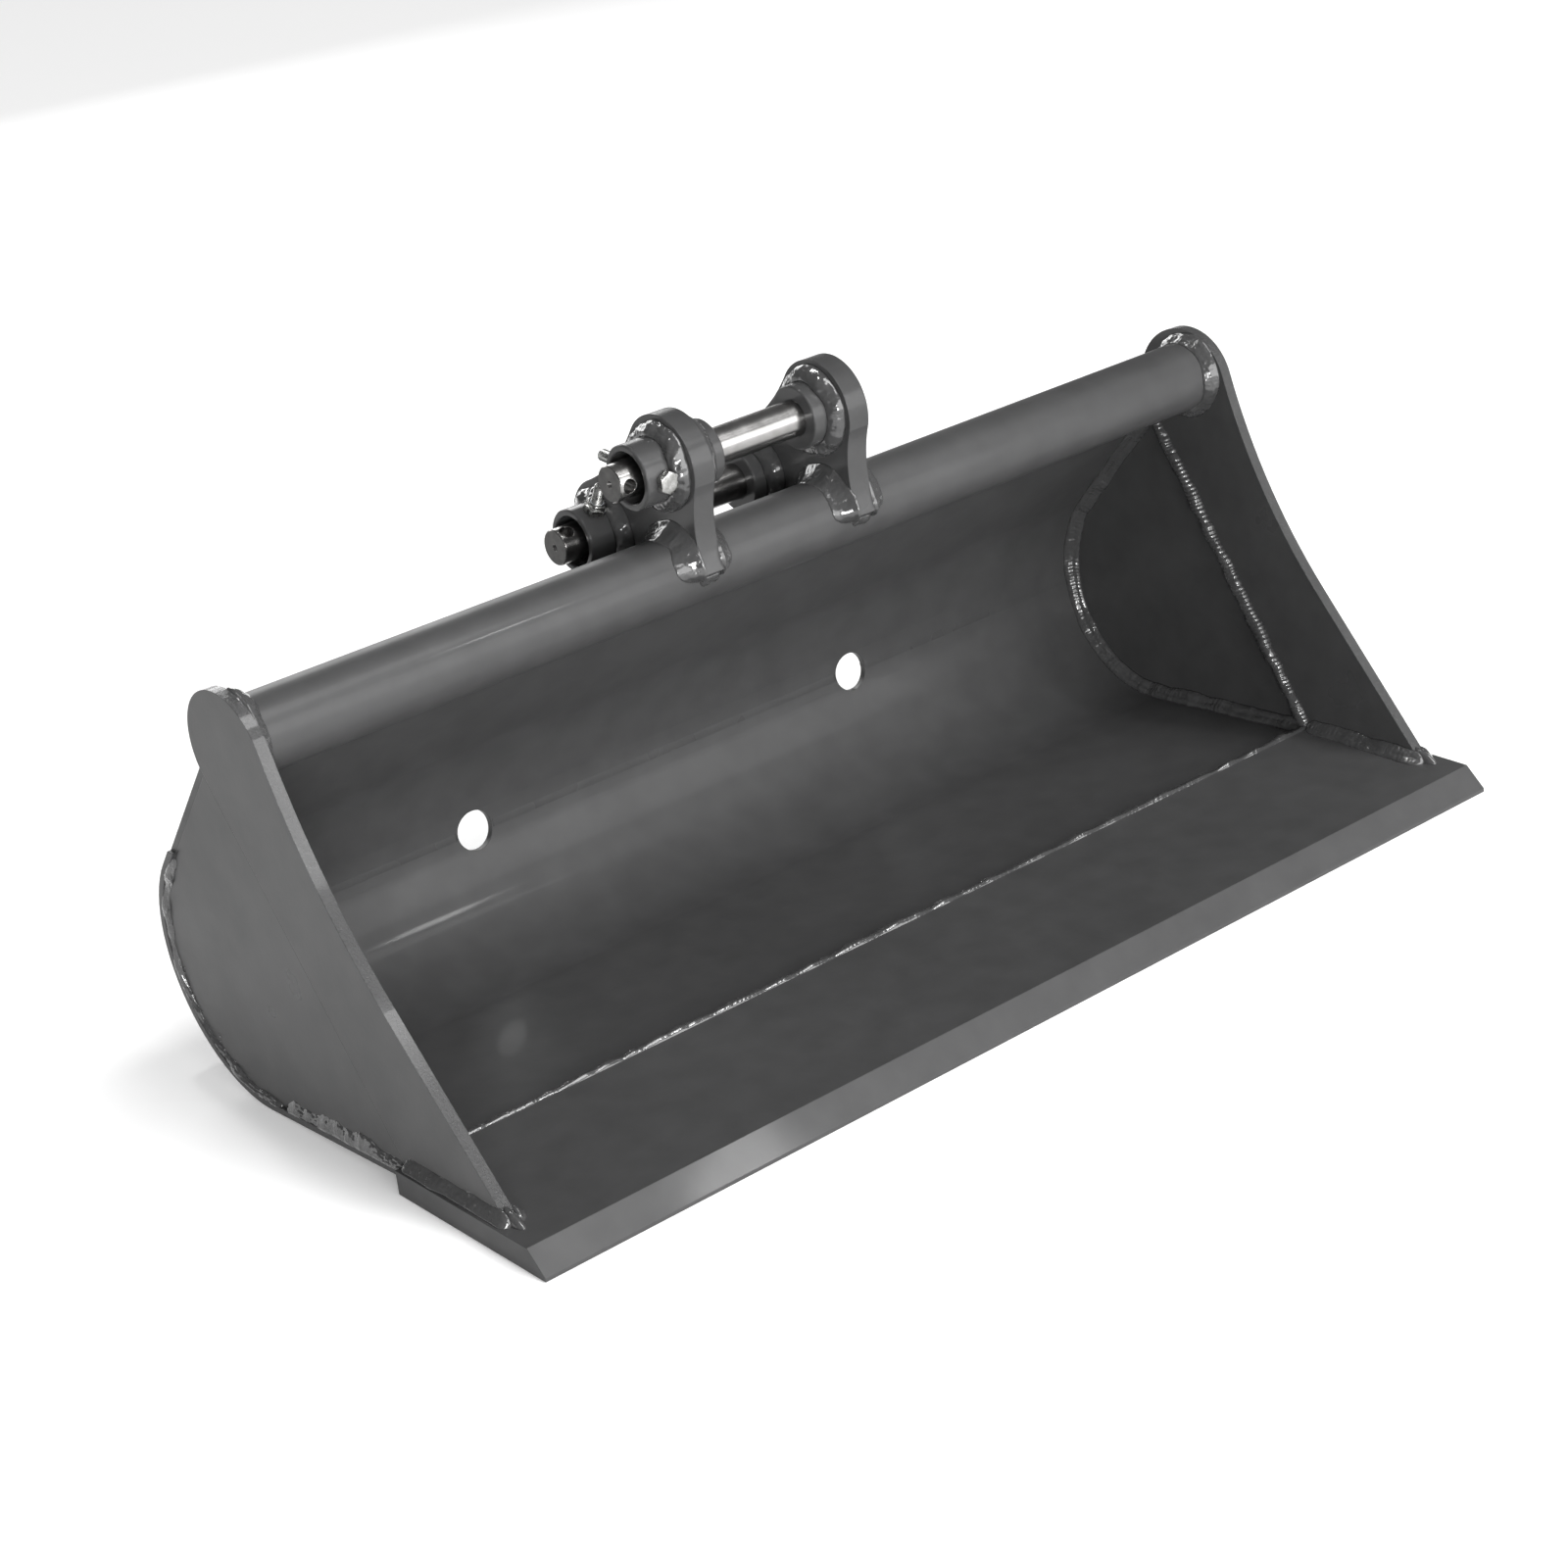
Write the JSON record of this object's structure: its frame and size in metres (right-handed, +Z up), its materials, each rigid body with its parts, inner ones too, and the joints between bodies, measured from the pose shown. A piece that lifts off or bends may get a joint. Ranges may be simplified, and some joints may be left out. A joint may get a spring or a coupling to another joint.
{
  "type": "excavator bucket",
  "caption": "Toothless grading bucket for a mini excavator: straight cutting edge, rolled shell, top tube and a two-pin hitch with bolted pins.",
  "frame": {"origin": "on the ground at mid width, at the tip of the cutting edge", "axes": "+X along the cutting edge, +Y from the cutting edge to the heel, +Z up"},
  "size_m": [1.0028, 0.481, 0.451],
  "materials": {
    "paint_body": "gloss dark grey enamel",
    "paint_ends": "gloss dark grey enamel",
    "paint_edge": "gloss dark grey enamel over flame-cut steel",
    "pin_steel": "turned and oiled",
    "zinc": "bright zinc plate"
  },
  "bodies": {
    "bucket": {"cutting_edge": "paint_edge", "lower_shell": "paint_body", "upper_shell": "paint_body", "top_tube": "paint_body", "side_cutter_left": "paint_ends", "end_plate_left": "paint_ends", "ear_left": "paint_body", "side_cutter_right": "paint_ends", "end_plate_right": "paint_ends", "ear_right": "paint_body", "front_collar_left": "paint_body", "front_collar_right": "paint_body", "front_boss": "paint_body", "rear_collar_left": "paint_body", "rear_collar_right": "paint_body", "rear_boss": "paint_body"},
    "front_pin": {"front_pin": "pin_steel"},
    "rear_pin": {"rear_pin": "pin_steel"},
    "front_bolt": {"front_bolt": "zinc", "front_nut": "zinc"},
    "rear_bolt": {"rear_bolt": "zinc", "rear_nut": "zinc"}
  },
  "joints": [
    {"name": "front_pin_play", "type": "hinge", "parent": "bucket", "child": "front_pin", "pos_m": [0, 0.3125, 0.4095], "axis": [1, 0, 0], "range_deg": [-3, 3]},
    {"name": "rear_pin_play", "type": "hinge", "parent": "bucket", "child": "rear_pin", "pos_m": [0, 0.3985, 0.34], "axis": [1, 0, 0], "range_deg": [-3, 3]},
    {"name": "front_bolt_turn", "type": "hinge", "parent": "bucket", "child": "front_bolt", "pos_m": [-0.1055, 0.3125, 0.4095], "axis": [0, 0.9962, 0.0872], "continuous": true},
    {"name": "rear_bolt_turn", "type": "hinge", "parent": "bucket", "child": "rear_bolt", "pos_m": [-0.1055, 0.3985, 0.34], "axis": [0, -0.4802, 0.8771], "continuous": true}
  ]
}
